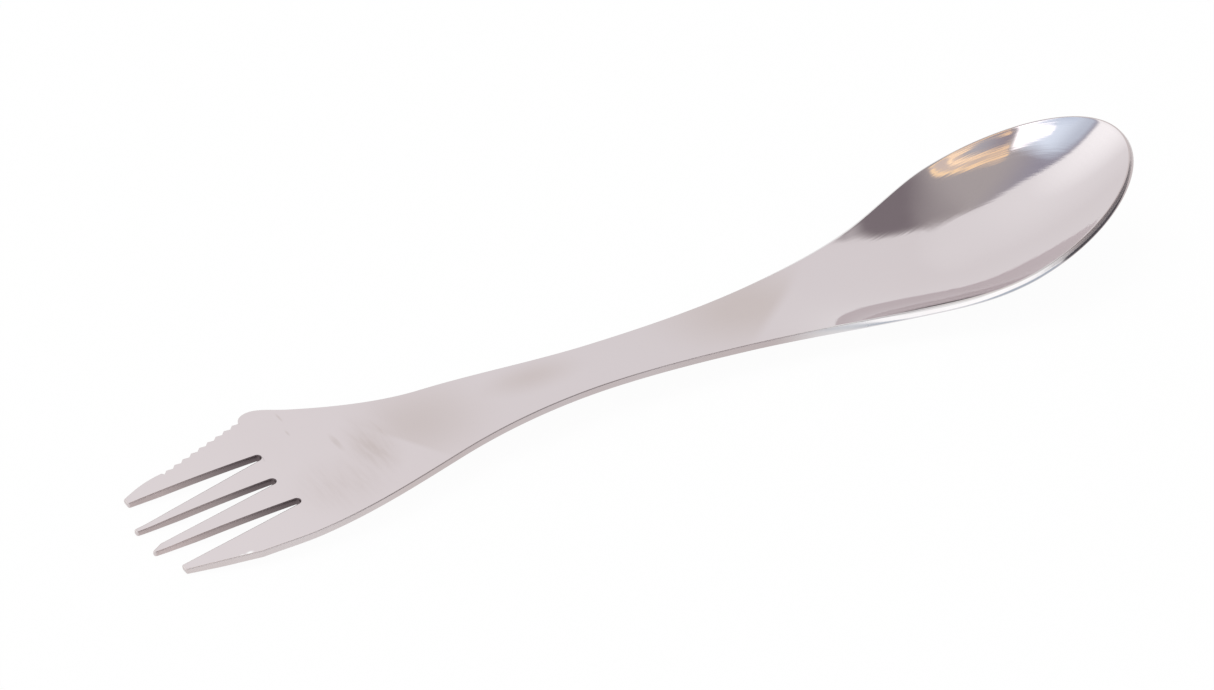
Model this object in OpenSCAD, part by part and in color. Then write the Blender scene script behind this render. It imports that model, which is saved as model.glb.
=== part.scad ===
/* [Overall] */
// Length from the tine tips to the spoon tip
overall_l = 170; // [160:1:180]
// Thickness of the steel sheet
sheet_t = 1.2; // [0.9:0.1:1.6]
// Thickness at the tine tips, where polishing thins the sheet
tine_tip_t = 0.85; // [0.6:0.05:1.2]
// Break on every edge of the sheet
edge_c = 0.15; // [0.05:0.05:0.25]

/* [Side profile] */
// Height of the top face at the crest of the handle
arch_h = 5.6; // [4.8:0.1:6.8]
// Place of the crest, share of the length
arch_share = 0.411; // [0.37:0.001:0.44]
// Height of the top face at the low point before the bowl
saddle_h = 4.65; // [4.0:0.05:5.5]
// Place of the low point, share of the length
saddle_share = 0.638; // [0.61:0.001:0.67]
// Height of the bowl rim beside the widest part
side_h = 7.3; // [6.3:0.05:8.3]
// Place of that height, share of the length
side_share = 0.8235; // [0.8:0.0005:0.85]
// Height of the rim at the spoon tip
tip_h = 17.15; // [15:0.05:20]
// Length of the tine tips that lies nearly flat on the table
foot_l = 6; // [4:0.5:8]
// Height of the top face at the end of that length
foot_h = 1.48; // [1.4:0.02:1.6]
// Slope of the tines from there
tine_rise_share = 0.125; // [0.1:0.005:0.15]
// Slope of the rim beside the widest part
side_rise_share = 0.28; // [0.2:0.01:0.34]
// Slope of the rim at the spoon tip
tip_rise_share = 0.41; // [0.3:0.01:0.46]

/* [Handle and bowl outline] */
// Width at the waist of the handle
waist_w = 10.25; // [8:0.05:12]
// Place of the waist, share of the length
waist_share = 0.457; // [0.44:0.001:0.475]
// Width where the flare of the bowl is steepest
flare_w = 23.2; // [21:0.1:26]
// Place of that flare, share of the length
flare_share = 0.746; // [0.72:0.001:0.77]
// Slope of each edge at the flare
flare_rise_share = 0.276; // [0.22:0.002:0.32]
// Widest width of the bowl across its rim
bowl_w = 32.4; // [30:0.1:36]
// Place of the widest width, share of the length
bowl_wide_share = 0.853; // [0.84:0.0005:0.87]

/* [Bowl hollow] */
// Depth of the hollow under the line between the two rims
bowl_d = 4.7; // [3.5:0.1:6.5]
// Place where the hollow starts, share of the length
hollow_start_share = 0.588; // [0.56:0.002:0.62]
// Place where the hollow is at full depth, share of the length
hollow_full_share = 0.812; // [0.78:0.002:0.84]
// Roundness of the hollow, 2 is a parabola and more is flatter at the bottom
hollow_form = 2.1; // [2:0.05:2.8]

/* [Palm of the fork] */
// Widest half width of the plain side
palm_y = 13.1; // [11.5:0.1:14]
// Place of that width from the tine tips
palm_x = 22.2; // [20:0.1:26]
// Half width of the plain side at the end of its outer tine
kink_y = 12.3; // [11:0.1:12.6]
// Place of that end from the tine tips
kink_x = 13; // [11:0.5:16]
// Half width of the plain side at the neck
neck_y = 8.65; // [7.5:0.05:9.5]
// Place of that neck from the tine tips
neck_x = 48.5; // [45:0.5:52]
// Slope of the plain edge at the neck
neck_fall_share = 0.255; // [0.18:0.005:0.3]
// Half width at the heel behind the teeth
heel_y = 17.6; // [16.5:0.05:19]
// Place of the heel from the tine tips
heel_x = 26.1; // [25.4:0.05:26.6]
// Half width on the slope behind the heel
slope_y = 14.8; // [13.5:0.05:15.5]
// Place of that slope from the tine tips
slope_x = 31.4; // [30:0.2:33]
// Slope of the edge there
slope_fall_share = 0.58; // [0.5:0.01:0.8]
// Half width at the neck on the side of the heel
far_neck_y = 7.95; // [7:0.05:9]
// Place of that neck from the tine tips
far_neck_x = 50.2; // [46:0.2:52]
// Slope of the edge at that neck
far_neck_fall_share = 0.09; // [0.06:0.001:0.2]

/* [Tines] */
// Distance that the outer tines end behind the middle ones
outer_back = 1.95; // [1:0.05:3]
// Outer edge of the toothed tine at its tip
tine_1_out_y = 10.6; // [10.1:0.05:11.2]
// Inner edge of the toothed tine at its tip
tine_1_in_y = 9.25; // [8.9:0.05:9.5]
// Outer edge of the second tine at its tip
tine_2_out_y = 3.5; // [3.3:0.05:4]
// Inner edge of the second tine at its tip
tine_2_in_y = 2.6; // [2.2:0.05:2.7]
// Inner edge of the third tine at its tip
tine_3_in_y = -1.65; // [-2:0.05:-1.4]
// Outer edge of the third tine at its tip
tine_3_out_y = -3.05; // [-3.4:0.05:-2.9]
// Inner edge of the fourth tine at its tip
tine_4_in_y = -7.75; // [-8:0.05:-7.5]
// Outer edge of the fourth tine at its tip
tine_4_out_y = -9.1; // [-9.4:0.05:-8.7]
// Length of the bevel on the third tine
bevel_l = 1.8; // [1:0.1:3]
// Width of the bevel on the third tine
bevel_w = 0.9; // [0.3:0.05:1]
// Length over which the tines thin out
thin_l = 8; // [4:0.5:12]

/* [Slots] */
// Place of the round ends of the outer slots from the tine tips
slot_x = 22.9; // [21:0.1:23.2]
// Place of the round end of the middle slot from the tine tips
mid_slot_x = 22.1; // [20:0.1:23]
// Distance between the round ends across the palm
slot_pitch = 6.15; // [5.6:0.05:6.4]
// Shift of the slots towards the toothed side
slot_shift = 0.95; // [0.4:0.05:1.2]
// Radius of the round ends
slot_r = 0.62; // [0.4:0.02:0.8]
// Swell of the slot edges half way along
slot_bow = 0.12; // [0:0.02:0.3]

/* [Toothed edge] */
// Number of teeth
tooth_n = 9; // [6:1:10]
// Place of the first gap from the tine tips
tooth_start_x = 9.5; // [9:0.05:10.5]
// Place of the end of the teeth from the tine tips
tooth_end_x = 23.9; // [22.5:0.01:24.2]
// Half width at the first tooth
tooth_start_y = 12.5; // [12.2:0.01:13]
// Half width at the last tooth
tooth_end_y = 16.4; // [15.8:0.01:17]
// Depth of the gaps between the teeth
tooth_d = 0.47; // [0.1:0.01:0.5]
// Place of a tooth's crest, share of the pitch
crest_share = 0.38; // [0.3:0.01:0.55]
// Place where the round corner of the heel starts from the tine tips
heel_start_x = 24; // [24:0.05:24.6]

/* [Hidden] */
// Places along the length
arch_x = arch_share * overall_l;
saddle_x = saddle_share * overall_l;
side_x = side_share * overall_l;
waist_x = waist_share * overall_l;
flare_x = flare_share * overall_l;
wide_x = bowl_wide_share * overall_l;
hollow_x = hollow_start_share * overall_l;
full_x = hollow_full_share * overall_l;
// Reach of the lower corner of the sheet past the rim, which leans out with the slope at the spoon tip
end_slope = tip_rise_share + bowl_d * hollow_form / (overall_l - wide_x);
end_lean = (sheet_t - edge_c) * end_slope / norm([1, end_slope]);
end_x = overall_l - end_lean;
end_l = end_x - wide_x;
// Toothed edge
tooth_pitch = (tooth_end_x - tooth_start_x) / tooth_n;
back_share = (1 + 2 * crest_share) / (2 + crest_share);
back_fall_share = 0.6;
tooth_rise_share = (tooth_end_y - tooth_start_y) / (tooth_end_x - tooth_start_x);
teeth_x = tooth_end_x - tooth_pitch * (1 - back_share);
// Edge of the plain outer tine, straight up to its end
kink_rise_share = 0.08;
tip_curve_share = 0.5;
// Bevel of the third tine, which leaves it a blunt end
tip_cut = min(bevel_w, tine_3_in_y - tine_3_out_y - 2.5 * edge_c);
// Place where the lines of the palm have spread evenly
spread_l = 0.15 * overall_l;
late_l = 0.03 * overall_l;
// Grid: stations along the piece and cells across each of the four strips
cells = 4;
tip_n = 6;
root_i = tip_n + 3 * tooth_n - 1;
arc_n = 6;
heel_n = 6;
neck_n = 25;
ramp_n = 18;
turn_n = 12;
heel_i = root_i + 1 + heel_n;
ramp_i = heel_i + neck_n;
wide_i = ramp_i + ramp_n;
last_i = wide_i + turn_n;
end_angle = 30;
probe_l = overall_l / 20000;
steel = [0.8, 0.78, 0.78];

// Curve through two points with a set slope at each
function bend(x, x0, y0, s0, x1, y1, s1) =
    let (h = x1 - x0)
    let (t = (x - x0) / h)
    let (k = t * t * (3 - 2 * t))
    y0 * (1 - k) + y1 * k + h * t * (1 - t) * (s0 * (1 - t) - s1 * t);

function ease(t) = t <= 0 ? 0 : t >= 1 ? 1 : t * t * (3 - 2 * t);
function mix(a, b, t) = a + (b - a) * t;

// Height of the top face along the middle of the handle and along the rim
function rim_z(x) =
    x < foot_l ? bend(x, 0, tine_tip_t, 0, foot_l, foot_h, tine_rise_share) :
    x < arch_x ? bend(x, foot_l, foot_h, tine_rise_share, arch_x, arch_h, 0) :
    x < saddle_x ? bend(x, arch_x, arch_h, 0, saddle_x, saddle_h, 0) :
    x < side_x ? bend(x, saddle_x, saddle_h, 0, side_x, side_h, side_rise_share) :
    bend(x, side_x, side_h, side_rise_share, end_x, tip_h, tip_rise_share);

// Half width from the waist to the widest part of the bowl
function flare_y(x) =
    x < flare_x ? bend(x, waist_x, waist_w / 2, 0, flare_x, flare_w / 2, flare_rise_share) :
    bend(x, flare_x, flare_w / 2, flare_rise_share, wide_x, bowl_w / 2, 0);

// Half width of the plain side
function plain_y(x) =
    x < kink_x ? bend(x, outer_back, -tine_4_out_y, tine_slope(), kink_x, kink_y, tine_slope()) :
    x < palm_x ? bend(x, kink_x, kink_y, kink_rise_share, palm_x, palm_y, 0) :
    x < neck_x ? bend(x, palm_x, palm_y, 0, neck_x, neck_y, -neck_fall_share) :
    x < waist_x ? bend(x, neck_x, neck_y, -neck_fall_share, waist_x, waist_w / 2, 0) :
    flare_y(x);
function tine_slope() = (kink_y + tine_4_out_y) / (kink_x - outer_back);

// Half width of the toothed side behind the teeth
function toothed_y(x) =
    x < heel_x ? heel_corner_y(max(0, (x - heel_start_x) / (heel_x - heel_start_x))) :
    x < slope_x ? bend(x, heel_x, heel_y, 0, slope_x, slope_y, -slope_fall_share) :
    x < far_neck_x ?
        bend(x, slope_x, slope_y, -slope_fall_share, far_neck_x, far_neck_y, -far_neck_fall_share) :
    x < waist_x ? bend(x, far_neck_x, far_neck_y, -far_neck_fall_share, waist_x, waist_w / 2, 0) :
    flare_y(x);

// Quarter round from the last gap up to the heel
function heel_corner_y(t) = back_y() + (heel_y - back_y()) * sqrt(1 - (1 - t) * (1 - t));

// Edge of the toothed tine: its tip curve, then a gap, a crest and a back for each tooth
function crest_y(x) = tooth_start_y + (x - tooth_start_x) * tooth_rise_share;
function back_y() = crest_y(teeth_x) - tooth_d * back_fall_share;
function tooth_point(k, part) =
    let (x = tooth_start_x + tooth_pitch * (k + [0, crest_share, back_share][part]))
    [x, crest_y(x) - tooth_d * [1, 0, back_fall_share][part]];
function tip_point(share) =
    let (x = mix(outer_back, tooth_start_x, share))
    [x, bend(x, outer_back, tine_1_out_y, tip_curve_share, tooth_start_x, tooth_start_y, 0)];
function toothed_point(i) =
    i < tip_n ? tip_point(i / tip_n) : tooth_point(floor((i - tip_n) / 3), (i - tip_n) % 3);

// Edge of a slot: from a tine tip to the round end, as a point and the way into the steel
function slot_point(i, tip, root, side) =
    let (line_n = root_i - arc_n)
    let (s = i / line_n)
    let (a = 90 * (root_i - i) / arc_n)
    let (bow = slot_bow * 4 * s * (1 - s))
    i <= line_n ?
        [mix(tip[0], root[0] - slot_r, s), mix(tip[1], root[1] + side * slot_r, s) + side * bow, 0, side] :
        [root[0] - slot_r + slot_r * cos(a), root[1] + side * slot_r * sin(a), cos(a), side * sin(a)];
function bevel(point) =
    let (t = max(0, 1 - point[0] / bevel_l))
    [point[0], point[1] - tip_cut * t, point[2], point[3]];

// Round ends of the slots, from the plain side to the toothed side
roots = [
    [slot_x, slot_shift - slot_pitch],
    [mid_slot_x, slot_shift],
    [slot_x, slot_shift + slot_pitch]
];

// Edges 0 to 7 from the plain side to the toothed side, two for each tine
function edge_point(i, e) =
    e == 0 ? plain_point(mix(outer_back, teeth_x, i / root_i)) :
    e == 1 ? slot_point(i, [outer_back, tine_4_in_y], roots[0], -1) :
    e == 2 ? slot_point(i, [0, tine_3_out_y], roots[0], 1) :
    e == 3 ? bevel(slot_point(i, [0, tine_3_in_y], roots[1], -1)) :
    e == 4 ? slot_point(i, [0, tine_2_in_y], roots[1], 1) :
    e == 5 ? slot_point(i, [0, tine_2_out_y], roots[2], -1) :
    e == 6 ? slot_point(i, [outer_back, tine_1_in_y], roots[2], 1) :
    concat(toothed_point(i), [0, -1]);
function plain_point(x) = [x, -plain_y(x), 0, 1];
function inset(point) = [point[0] + edge_c * point[2], point[1] + edge_c * point[3]];

// Places of the stations behind the slots, close together at the heel
function station_x(i) =
    i <= root_i + 1 ? mix(teeth_x, heel_start_x, i - root_i) :
    i <= heel_i ? heel_x - (heel_x - heel_start_x) * cos(90 * (i - root_i - 1) / heel_n) :
    i <= ramp_i ? mix(heel_x, hollow_x, pow((i - heel_i) / neck_n, 1.5)) :
    mix(hollow_x, wide_x, (i - ramp_i) / ramp_n);

// Lines 0 to 4 that part the four strips behind the slots
function line_point(i, j, c) =
    let (x = station_x(i))
    let (low = c - plain_y(x))
    let (high = toothed_y(x) - c)
    j == 0 ? [x, low] :
    j == 4 ? [x, high] :
    let (late = ease((x - teeth_x) / late_l))
    let (spread = ease((x - teeth_x) / spread_l))
    let (start = roots[j - 1])
    [x + (start[0] + edge_c - teeth_x) * (1 - late), mix(start[1], mix(low, high, j / 4), spread)];

// Round end of the spoon: straight stations turn into the arc of the rim
function turn_point(i, v, c) =
    let (part = (i - wide_i) / turn_n)
    let (a = mix(90, end_angle, part))
    let (b = part * part)
    let (arc_x = cos(v * end_angle) - cos(end_angle))
    let (arc_y = sin(v * end_angle) / sin(end_angle))
    [wide_x + (end_l - c) * (cos(a) + b * arc_x), (bowl_w / 2 - c) * sin(a) * mix(v, arc_y, b)];

// A point of the top face in strip k at cell c
function face_point(i, k, c) =
    i < root_i ? mix(inset(edge_point(i, 2 * k)), inset(edge_point(i, 2 * k + 1)), c / cells) :
    i == root_i ? mix(root_line(k), root_line(k + 1), c / cells) :
    i < wide_i ? mix(line_point(i, k, edge_c), line_point(i, k + 1, edge_c), c / cells) :
    turn_point(i, (k * cells + c) / (2 * cells) - 1, edge_c);
function root_line(j) =
    j == 0 ? inset(edge_point(root_i, 0)) :
    j == 4 ? inset(edge_point(root_i, 7)) :
    inset(edge_point(root_i, 2 * j - 1));

// A point of the outer wall on the plain side or the toothed side
function wall_point(i, e) =
    i <= root_i ? edge_point(i, e) :
    i < wide_i ? line_point(i, e == 0 ? 0 : 4, 0) :
    turn_point(i, e == 0 ? -1 : 1, 0);

// Share of the way from the middle of the bowl to its rim
function rim_part(x, y) =
    x > wide_x ? norm([(x - wide_x) / end_l, 2 * y / bowl_w]) :
    x < hollow_x ? 1 :
    abs(y) / (y < 0 ? plain_y(x) : toothed_y(x));
function top_z(x, y) =
    let (depth = bowl_d * ease((x - hollow_x) / (full_x - hollow_x)))
    rim_z(x) - depth * (1 - pow(rim_part(x, y), hollow_form));

// A point at a depth under the top face, square to it, so that the sheet and its edges lean with the bowl
function thick(x) = mix(tine_tip_t, sheet_t, ease(x / thin_l));
function face_normal(x, y) =
    let (gx = (top_z(x + probe_l, y) - top_z(x - probe_l, y)) / (2 * probe_l))
    let (gy = (top_z(x, y + probe_l) - top_z(x, y - probe_l)) / (2 * probe_l))
    [-gx, -gy, 1] / norm([-gx, -gy, 1]);
function sheet_point(p, depth) = [p[0], p[1], top_z(p[0], p[1])] - depth * face_normal(p[0], p[1]);
function top_point(p, drop) = sheet_point(p, drop);
function low_point(p, rise) = sheet_point(p, thick(p[0]) - rise);

// Corner numbers: strips first, then walls, then the wall round the spoon end
row = 4 * (cells + 1);
faces_n = row * (last_i + 1);
walls_n = 8 * (last_i + 1);
ring_n = 4 * cells + 1;
function in_face(i, k, c) = i >= root_i && c == cells && k < 3 ? in_face(i, k + 1, 0) : i * row + k * (cells + 1) + c;
function top_id(i, k, c) = in_face(i, k, c);
function low_id(i, k, c) = faces_n + in_face(i, k, c);
function in_wall(i, e) = i == root_i && e % 2 == 1 && e < 7 ? i * 8 + e + 1 : i * 8 + e;
function wall_top(i, e) = 2 * faces_n + in_wall(i, e);
function wall_low(i, e) = 2 * faces_n + walls_n + in_wall(i, e);
function ring_top(j) =
    j == 0 ? wall_top(last_i, 0) : j == ring_n - 1 ? wall_top(last_i, 7) : 2 * (faces_n + walls_n) + j;
function ring_low(j) =
    j == 0 ? wall_low(last_i, 0) :
    j == ring_n - 1 ? wall_low(last_i, 7) :
    2 * (faces_n + walls_n) + ring_n + j;
function face_id(j, low) =
    let (k = min(3, floor(j / cells)))
    low ? low_id(last_i, k, j - k * cells) : top_id(last_i, k, j - k * cells);

function quad(a, b, c, d) = [[a, c, b], [a, d, c]];
function has_wall(i, e) = e == 0 || e == 7 || i < root_i;

// The long bands of faces beside edge e between two stations
function edge_faces(i, e) =
    let (k = floor(e / 2))
    let (c = e % 2 == 0 ? 0 : cells)
    let (rows = [
        [low_id(i, k, c), low_id(i + 1, k, c)],
        [wall_low(i, e), wall_low(i + 1, e)],
        [wall_top(i, e), wall_top(i + 1, e)],
        [top_id(i, k, c), top_id(i + 1, k, c)]
    ])
    [for (r = [0:2]) for (f = e % 2 == 0 ?
        quad(rows[r][0], rows[r][1], rows[r + 1][1], rows[r + 1][0]) :
        quad(rows[r][0], rows[r + 1][0], rows[r + 1][1], rows[r][1])) f];

// The flat end of a tine
function tip_faces(k) =
    let (a = 2 * k)
    let (b = 2 * k + 1)
    concat(
        quad(wall_low(0, a), wall_top(0, a), top_id(0, k, 0), low_id(0, k, 0)),
        quad(low_id(0, k, cells), top_id(0, k, cells), wall_top(0, b), wall_low(0, b)),
        [for (c = [0:cells - 1])
            for (f = quad(low_id(0, k, c), top_id(0, k, c), top_id(0, k, c + 1), low_id(0, k, c + 1))) f]
    );

// The wall round the spoon end
function ring_faces(j) =
    concat(
        quad(face_id(j, false), ring_top(j), ring_top(j + 1), face_id(j + 1, false)),
        quad(ring_low(j), ring_low(j + 1), ring_top(j + 1), ring_top(j)),
        quad(face_id(j, true), face_id(j + 1, true), ring_low(j + 1), ring_low(j))
    );

module spork() {
    places = [for (i = [0:last_i]) for (k = [0:3]) for (c = [0:cells]) face_point(i, k, c)];
    edges = [for (i = [0:last_i]) for (e = [0:7])
        e == 0 || e == 7 ? wall_point(i, e) : edge_point(min(i, root_i), e)];
    ring = [for (j = [0:ring_n - 1]) turn_point(last_i, 2 * j / (ring_n - 1) - 1, 0)];
    points = concat(
        [for (p = places) top_point(p, 0)],
        [for (p = places) low_point(p, 0)],
        [for (p = edges) top_point(p, edge_c)],
        [for (p = edges) low_point(p, edge_c)],
        [for (p = ring) top_point(p, edge_c)],
        [for (p = ring) low_point(p, edge_c)]
    );
    // The piece stands on the table, over the middle of its own length and width
    low = [for (axis = [0:2]) min([for (p = points) p[axis]])];
    high = [for (axis = [0:1]) max([for (p = points) p[axis]])];
    faces = concat(
        [for (i = [0:last_i - 1]) for (k = [0:3]) for (c = [0:cells - 1])
            for (f = quad(top_id(i, k, c), top_id(i + 1, k, c), top_id(i + 1, k, c + 1), top_id(i, k, c + 1))) f],
        [for (i = [0:last_i - 1]) for (k = [0:3]) for (c = [0:cells - 1])
            for (f = quad(low_id(i, k, c), low_id(i, k, c + 1), low_id(i + 1, k, c + 1), low_id(i + 1, k, c))) f],
        [for (i = [0:last_i - 1]) for (e = [0:7]) if (has_wall(i, e)) for (f = edge_faces(i, e)) f],
        [for (k = [0:3]) for (f = tip_faces(k)) f],
        [for (j = [0:ring_n - 2]) for (f = ring_faces(j)) f]
    );
    color(steel)
        translate([-(low[0] + high[0]) / 2, -(low[1] + high[1]) / 2, -low[2]])
            polyhedron(points = points, faces = faces, convexity = 8);
}

spork();
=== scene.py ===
"""A spork: one polished steel sheet with a spoon bowl at one end and a fork at the other."""

import math

import bmesh
import bpy
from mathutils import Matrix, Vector


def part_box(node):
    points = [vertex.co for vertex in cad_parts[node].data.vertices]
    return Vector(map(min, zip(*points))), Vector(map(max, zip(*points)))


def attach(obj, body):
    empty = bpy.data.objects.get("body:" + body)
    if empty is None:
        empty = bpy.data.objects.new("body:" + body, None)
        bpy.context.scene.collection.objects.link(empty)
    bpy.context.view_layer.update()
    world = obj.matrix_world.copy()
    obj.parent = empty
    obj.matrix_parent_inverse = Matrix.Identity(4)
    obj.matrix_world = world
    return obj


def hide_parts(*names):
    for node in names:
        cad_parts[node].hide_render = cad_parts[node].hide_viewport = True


bl_info = {
    "name": "Polished steel spork",
    "version": (1, 0, 0),
    "blender": (4, 5, 0),
    "location": "View3D > Sidebar > Spork",
    "description": "Builds a one-piece steel spork, its polished finish and a pale studio",
    "category": "Add Mesh",
}

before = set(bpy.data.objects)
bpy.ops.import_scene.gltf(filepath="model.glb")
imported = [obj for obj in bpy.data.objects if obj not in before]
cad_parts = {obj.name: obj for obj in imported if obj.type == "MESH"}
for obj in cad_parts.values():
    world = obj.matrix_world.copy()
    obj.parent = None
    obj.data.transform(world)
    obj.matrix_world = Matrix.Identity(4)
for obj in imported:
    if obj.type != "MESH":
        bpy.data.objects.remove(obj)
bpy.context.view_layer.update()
SOLID_LOW, SOLID_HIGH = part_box("spork")
MM = 0.001


def size(name, description, millimetres):
    """A length that a user can change, shown in the scene's unit."""
    return bpy.props.FloatProperty(
        name=name,
        description=description,
        default=millimetres * MM,
        unit="LENGTH",
        subtype="DISTANCE",
        precision=5,
    )


def share(name, description, value):
    """A part of a whole, or a slope."""
    return bpy.props.FloatProperty(
        name=name, description=description, default=value, subtype="FACTOR", precision=4
    )


def colour(name, description, value):
    """A linear colour."""
    return bpy.props.FloatVectorProperty(
        name=name, description=description, default=value, size=3, min=0.0, max=1.0, subtype="COLOR"
    )


# Sizes


class SheetSizes(bpy.types.PropertyGroup):
    """The sheet and its side profile."""

    overall_l: size("Length", "From the tine tips to the spoon tip", (SOLID_HIGH[0] - SOLID_LOW[0]) / MM)
    sheet_t: size("Sheet thickness", "Thickness of the steel sheet", 1.2)
    tine_tip_t: size("Tip thickness", "Thickness at the tine tips, where polishing thins the sheet", 0.85)
    edge_r: size("Edge radius", "Round on every edge of the sheet", 0.17)
    arch_h: size("Crest height", "Height of the top face at the crest of the handle", 5.6)
    arch_share: share("Crest place", "Place of the crest along the length", 0.411)
    saddle_h: size("Saddle height", "Height of the top face at the low point before the bowl", 4.65)
    saddle_share: share("Saddle place", "Place of the low point along the length", 0.638)
    side_h: size("Side height", "Height of the bowl rim beside its widest part", 7.3)
    side_share: share("Side place", "Place of that height along the length", 0.8235)
    tip_h: size("Tip height", "Height of the rim at the spoon tip", 17.15)
    foot_l: size("Foot length", "Length of the tine tips that lies nearly flat on the table", 6.0)
    foot_h: size("Foot height", "Height of the top face at the end of that length", 1.48)
    tine_rise: share("Tine slope", "Slope of the tines behind their tips", 0.125)
    side_rise: share("Side slope", "Slope of the rim beside the widest part", 0.28)
    tip_rise: share("Tip slope", "Slope of the rim at the spoon tip", 0.41)


class BowlSizes(bpy.types.PropertyGroup):
    """The outline of the handle and bowl, and the hollow."""

    waist_w: size("Waist width", "Width at the waist of the handle", 10.25)
    waist_share: share("Waist place", "Place of the waist along the length", 0.457)
    flare_w: size("Flare width", "Width where the flare of the bowl is steepest", 23.2)
    flare_share: share("Flare place", "Place of that flare along the length", 0.746)
    flare_rise: share("Flare slope", "Slope of each edge at the flare", 0.276)
    bowl_w: size("Bowl width", "Widest width of the bowl", 32.4)
    bowl_wide_share: share("Widest place", "Place of the widest width along the length", 0.853)
    bowl_d: size("Bowl depth", "Depth of the hollow under the line between the rims", 4.7)
    hollow_start_share: share("Hollow start", "Place where the hollow starts along the length", 0.588)
    hollow_full_share: share("Hollow full", "Place where the hollow is at full depth", 0.812)
    hollow_form: bpy.props.FloatProperty(
        name="Hollow form",
        description="2 is a parabola and more is flatter at the bottom",
        default=2.1,
        min=2.0,
    )


class ForkSizes(bpy.types.PropertyGroup):
    """The palm, the tines, the slots and the toothed edge."""

    palm_y: size("Palm half width", "Widest half width of the plain side", 13.1)
    palm_x: size("Palm place", "Place of that width from the tine tips", 22.2)
    kink_y: size("Tine end half width", "Half width of the plain side at the end of its outer tine", 12.3)
    kink_x: size("Tine end place", "Place of that end from the tine tips", 13.0)
    neck_y: size("Neck half width", "Half width of the plain side at the neck", 8.65)
    neck_x: size("Neck place", "Place of that neck from the tine tips", 48.5)
    neck_fall: share("Neck slope", "Slope of the plain edge at the neck", 0.255)
    heel_y: size("Heel half width", "Half width at the heel behind the teeth", 17.6)
    heel_x: size("Heel place", "Place of the heel from the tine tips", 26.1)
    slope_y: size("Slope half width", "Half width on the slope behind the heel", 14.8)
    slope_x: size("Slope place", "Place of that slope from the tine tips", 31.4)
    slope_fall: share("Heel slope", "Slope of the edge behind the heel", 0.58)
    far_neck_y: size("Far neck half width", "Half width at the neck on the toothed side", 7.95)
    far_neck_x: size("Far neck place", "Place of that neck from the tine tips", 50.2)
    far_neck_fall: share("Far neck slope", "Slope of the edge at that neck", 0.09)
    outer_back: size("Outer tine setback", "Distance that the outer tines end behind the middle ones", 1.95)
    tine_1_out_y: size("Tine 1 outside", "Outer edge of the toothed tine at its tip", 10.6)
    tine_1_in_y: size("Tine 1 inside", "Inner edge of the toothed tine at its tip", 9.25)
    tine_2_out_y: size("Tine 2 outside", "Outer edge of the second tine at its tip", 3.5)
    tine_2_in_y: size("Tine 2 inside", "Inner edge of the second tine at its tip", 2.6)
    tine_3_in_y: size("Tine 3 inside", "Inner edge of the third tine at its tip", -1.65)
    tine_3_out_y: size("Tine 3 outside", "Outer edge of the third tine at its tip", -3.05)
    tine_4_in_y: size("Tine 4 inside", "Inner edge of the fourth tine at its tip", -7.75)
    tine_4_out_y: size("Tine 4 outside", "Outer edge of the fourth tine at its tip", -9.1)
    bevel_l: size("Bevel length", "Length of the bevel on the third tine", 1.8)
    bevel_w: size("Bevel width", "Width of the bevel on the third tine", 0.9)
    thin_l: size("Thinned length", "Length over which the tines thin out", 8.0)
    slot_x: size("Outer slot end", "Place of the round ends of the outer slots", 22.9)
    mid_slot_x: size("Middle slot end", "Place of the round end of the middle slot", 22.1)
    slot_pitch: size("Slot pitch", "Distance between the round ends across the palm", 6.15)
    slot_shift: size("Slot shift", "Shift of the slots towards the toothed side", 0.95)
    slot_r: size("Slot end radius", "Radius of the round ends of the slots", 0.62)
    slot_bow: size("Slot swell", "Swell of the slot edges half way along", 0.12)
    tooth_n: bpy.props.IntProperty(name="Teeth", description="Number of teeth", default=9, min=6, max=10)
    tooth_start_x: size("First gap", "Place of the first gap from the tine tips", 9.5)
    tooth_end_x: size("Last tooth", "Place of the end of the teeth from the tine tips", 23.9)
    tooth_start_y: size("First tooth half width", "Half width at the first tooth", 12.5)
    tooth_end_y: size("Last tooth half width", "Half width at the last tooth", 16.4)
    tooth_d: size("Tooth depth", "Depth of the gaps between the teeth", 0.47)
    crest_share: share("Tooth crest", "Place of a tooth's crest along its pitch", 0.38)
    heel_start_x: size("Heel start", "Start of the heel's round corner, from the tine tips", 24.0)
    tip_r: size("Tine tip radius", "Round on the ends of the tines", 0.3)


class FinishValues(bpy.types.PropertyGroup):
    """Colours and finish of the steel."""

    face_tone: colour("Polished face", "Colour of the polished faces", (0.68, 0.617, 0.63))
    tine_tone: colour("Polished tines", "Colour of the faces of the tines", (0.70, 0.64, 0.652))
    handle_tone: colour("Polished handle", "Colour of the handle's and bowl's faces", (0.65, 0.592, 0.606))
    # The warm film's tint also colours the warm patches on the faces
    warm_tone: colour("Warm film", "Tint of the faint warm smudges", (0.575, 0.508, 0.50))
    cool_tone: colour("Cool film", "Tint of the faint cool patches", (0.63, 0.60, 0.625))
    # Painted shade: the dark colour of the slot walls deep in their round ends
    root_tone: colour("Slot root", "Colour of the slot walls at the round ends", (0.14, 0.112, 0.118))
    slot_tone: colour("Slot wall", "Colour of the slot walls near the tine tips", (0.57, 0.485, 0.478))
    tine_edge_tone: colour("Tine edge", "Colour of the edge of the outer tines", (0.66, 0.595, 0.59))
    # Partly a painted highlight: the polished rim is made paler so that its reflection reaches white
    rim_tone: colour("Bowl rim", "Colour of the polished edge round the bowl", (0.80, 0.785, 0.79))
    # Painted highlight: the white of the small glints on the outer tine
    nick_tone: colour("Nicks", "Colour of the bright nicks", (1.0, 1.0, 1.0))
    edge_tone: colour("Cut edge", "Colour of the edge of the sheet", (0.52, 0.452, 0.452))
    face_rough: share("Face roughness", "Roughness of the polished faces", 0.06)
    edge_rough: share("Edge roughness", "Roughness of the cut edge", 0.09)


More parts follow.
